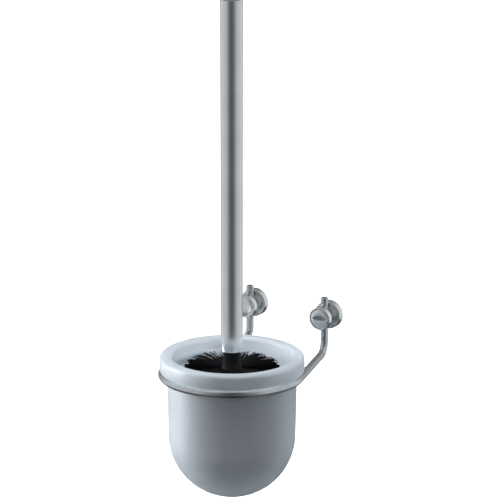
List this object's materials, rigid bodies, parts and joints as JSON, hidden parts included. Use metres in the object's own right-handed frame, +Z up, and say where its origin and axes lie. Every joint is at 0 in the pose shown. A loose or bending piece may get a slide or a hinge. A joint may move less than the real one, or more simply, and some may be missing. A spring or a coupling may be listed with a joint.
{
  "type": "toilet brush holder",
  "caption": "Wall-hung bent-rod ring on round posts, holding a frosted glass cup with a rounded bottom and a tube-handled brush standing in it.",
  "frame": {"origin": "on the wall, midway between the two wall posts' axes", "axes": "+X to the right seen from the room, +Y into the wall, +Z up"},
  "size_m": [0.1132, 0.1516, 0.3913],
  "materials": {
    "polished_chrome": "polished",
    "frosted_glass": "satin frosted, pale blue-grey",
    "black_plastic": "semi-gloss",
    "black_bristle": "matte fibres",
    "brass": "turned",
    "blackened_steel": "black oxide"
  },
  "bodies": {
    "wall_frame": {"rod_frame": "polished_chrome", "left_post": "polished_chrome", "left_cap": "polished_chrome", "left_rod_clamp_screw": "blackened_steel", "left_wall_bush": "brass", "left_post_grub_screw": "blackened_steel", "right_post": "polished_chrome", "right_cap": "polished_chrome", "right_rod_clamp_screw": "blackened_steel", "right_wall_bush": "brass", "right_post_grub_screw": "blackened_steel"},
    "cup": {"glass_cup": "frosted_glass"},
    "brush_handle": {"handle_tube": "polished_chrome", "handle_end_cap": "polished_chrome", "handle_insert": "brass"},
    "brush_head": {"brush_core": "black_plastic", "side_bristles": "black_bristle", "end_bristles": "black_bristle"}
  },
  "joints": [
    {"name": "cup_lift", "type": "slide", "parent": "wall_frame", "child": "cup", "axis": [0, 0, 1], "range_m": [0, 0.12]},
    {"name": "brush_lift", "type": "slide", "parent": "cup", "child": "brush_handle", "axis": [0, 0, 1], "range_m": [0, 0.13]},
    {"name": "head_unscrew", "type": "hinge", "parent": "brush_handle", "child": "brush_head", "pos_m": [0, -0.095, 0], "axis": [0, 0, 1], "continuous": true}
  ]
}
